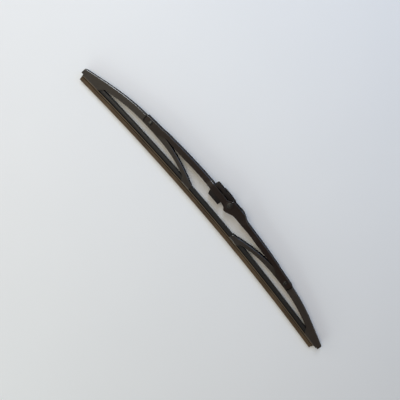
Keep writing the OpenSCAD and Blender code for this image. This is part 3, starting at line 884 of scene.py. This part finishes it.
def groove_shade_mask(p):
    """1 in the groove and in the slit over the lip: the recesses that are painted black as shade."""
    depth, wide, close = rubber_depth(p), abs(p.z), 0.05
    groove = HEAD_HEIGHT - close < depth < GROOVE_LOW + close and wide < 2.6
    slit = SLIT_TOP - close < depth < SLIT_TOP + SLIT_HEIGHT + close and wide < 1.6
    return float(groove or slit)


def on_shoulder(p):
    """1 on the shoulder between groove and slit, which gathers the dust that the claws and lip shed."""
    depth = rubber_depth(p)
    return ease((depth - GROOVE_LOW + 0.1) / 0.2) * (1 - ease((depth - SLIT_TOP + 0.1) / 0.3))


def wavy_lip(s, depth):
    """How far sideways the rubber lies: its free lip is never quite straight."""
    held, free_height = 8.5, 4.0
    free = max(0.0, depth - held) / free_height
    long_wave, short_wave = noise.noise((s * 0.018, 3.1, 0)), noise.noise((s * 0.09, 7.7, 0))
    return free * (0.28 * long_wave + 0.06 * short_wave)


def half_strip(sign, sections, half_length, edge, wave=lambda s, depth: 0):
    """The sections swept along the bow from mid-length to one end, with the wave added sideways."""
    far = sign * half_length - RUBBER_SLIDE
    places = [far * k / BOW_STEPS for k in range(BOW_STEPS + 1)]
    strips = [
        [[bow_point(s, depth, z + wave(s, depth)) for depth, z in section] for s in places]
        for section in sections
    ]
    return worked(swept(strips), edge=edge)


def rubber_and_spines():
    """The rubber and the spines, each as two halves swept along the bow from mid-length to an end."""
    inner, outer = SLOT_BOTTOM + SPINE_GAP, SLOT_BOTTOM + SPINE_GAP + SPINE_WIDTH
    low = SPINE_TOP + SPINE_THICKNESS
    spine = [(SPINE_TOP, inner), (SPINE_TOP, outer), (low, outer), (low, inner)]
    both = [spine, [(depth, -z) for depth, z in spine]]
    for side, sign in (("left", -1), ("right", 1)):
        rubber = half_strip(sign, [rubber_section()], RUBBER_LENGTH / 2, 0.08, wave=wavy_lip)
        mark(rubber, is_open, "open")
        mark(rubber, on_shoulder, "ledge")
        mark(rubber, groove_shade_mask, "groove_shade")
        spines = half_strip(sign, both, RUBBER_LENGTH / 2 - RUBBER_END_GAP, 0.1)
        for name, mesh, finish, slot, nodes in (
            ("rubber", rubber, RUBBER, "wiping_rubber", ["wiping_rubber"]),
            ("spines", spines, STRIP, "spine_steel", ["spine_front", "spine_rear"]),
        ):
            piece = new_piece(f"{name}_{side}", mesh, finish, None, nodes)
            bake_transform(piece)


main_bridge()
bosses()
lever("left")
lever("right")
rivets()
arm_adapter()
pivot_liners()
rubber_and_spines()

# ---------------------------------------------------------------- table, camera and light

# The blade lies on the head of its pin and on its outer claws, 33 mm further down, where it is 4.4 mm
# thinner each side, so the table leans that much. Everything from here on is in metres.
LEAN = math.atan2(4.4, 33.0)
TABLE_DROP, TABLE_HALF = 8.85 * MM, 3
# The camera's right and up in the part's frame and its place, as fitted to the photo's outline
CAMERA_RIGHT = Vector((0.64349229, 0.75982516, -0.09264663))
CAMERA_UP = Vector((-0.75834066, 0.61636589, -0.21216156))
CAMERA_PLACE = Vector((-83.753, 85.7, 522.957)) * MM
FOCAL_LENGTH, SENSOR_WIDTH = 38.7, 36.0
# Name, place, aim, size, power in watts and colour
LIGHTS = (
    ("ceiling", (-0.5, -0.02, 1.1), (-0.05, 0, 0), (0.7, 0.7), 4.25, (1.0, 0.88, 0.64)),
    ("window", (-0.70, 0.68, 0.89), (-0.1, 0, 0), (0.22, 1.0), 7.0, (0.82, 0.90, 1.0)),
    ("left_wall", (-1.1, -0.6, 0.5), (-0.1, 0, 0), (1.0, 0.8), 4.1, (0.98, 0.92, 0.88)),
    ("front_wall", (0.1, -1.1, 0.6), (0, 0, 0), (0.9, 0.6), 3.8, (0.89, 1.0, 0.93)),
    ("back_wall", (0.1, 1.1, 0.6), (0, 0, 0), (0.9, 0.6), 2.1, (0.3, 0.54, 1.0)),
    ("far_lamp", (0.75, -0.2, 1.1), (0.1, 0, 0), (0.4, 0.4), 0.5, (1.0, 0.55, 0.25)),
)
ROOM_COLOUR, ROOM_STRENGTH = (0.97, 0.96, 0.93, 1), 0.19


def lying_table():
    """The table under the blade, leaning about the X axis."""
    bm = bmesh.new()
    for x, y in ((-1, -1), (1, -1), (1, 1), (-1, 1)):
        bm.verts.new((x * TABLE_HALF, y * TABLE_HALF, 0))
    bm.faces.new(bm.verts[:])
    bmesh.ops.subdivide_edges(bm, edges=bm.edges[:], cuts=7, use_grid_fill=True)
    mesh = bpy.data.meshes.new("table")
    bm.to_mesh(mesh)
    bm.free()
    mesh.materials.append(table_top("table_top"))
    table = bpy.data.objects.new("table", mesh)
    bpy.context.scene.collection.objects.link(table)
    table.rotation_mode = "QUATERNION"
    up = Vector((0, math.sin(LEAN), math.cos(LEAN)))
    table.rotation_quaternion = up.to_track_quat("Z", "Y")
    table.location = (0, 0, -TABLE_DROP)


def photo_camera():
    lens = bpy.data.cameras.new("camera")
    lens.lens, lens.sensor_width = FOCAL_LENGTH, SENSOR_WIDTH
    lens.clip_start, lens.clip_end = 0.01, 20
    camera = bpy.data.objects.new("camera", lens)
    bpy.context.scene.collection.objects.link(camera)
    back = CAMERA_RIGHT.cross(CAMERA_UP)
    turn = Matrix((CAMERA_RIGHT, CAMERA_UP, back)).transposed().to_4x4()
    camera.matrix_world = Matrix.Translation(CAMERA_PLACE) @ turn
    bpy.context.scene.camera = camera


def soft_light(name, place, aim, size, power, colour):
    lamp = bpy.data.lights.new(name, "AREA")
    lamp.shape, lamp.size, lamp.size_y = "RECTANGLE", size[0], size[1]
    lamp.energy, lamp.color = power, colour
    light = bpy.data.objects.new(name, lamp)
    bpy.context.scene.collection.objects.link(light)
    light.location = place
    light.rotation_mode = "QUATERNION"
    light.rotation_quaternion = (Vector(aim) - Vector(place)).to_track_quat("-Z", "Y")


def room_light():
    world = bpy.data.worlds.new("world")
    world.use_nodes = True
    background = world.node_tree.nodes["Background"]
    background.inputs["Color"].default_value = ROOM_COLOUR
    background.inputs["Strength"].default_value = ROOM_STRENGTH
    bpy.context.scene.world = world


lying_table()
photo_camera()
for light in LIGHTS:
    soft_light(*light)
room_light()
bpy.context.scene.view_settings.view_transform = "Standard"
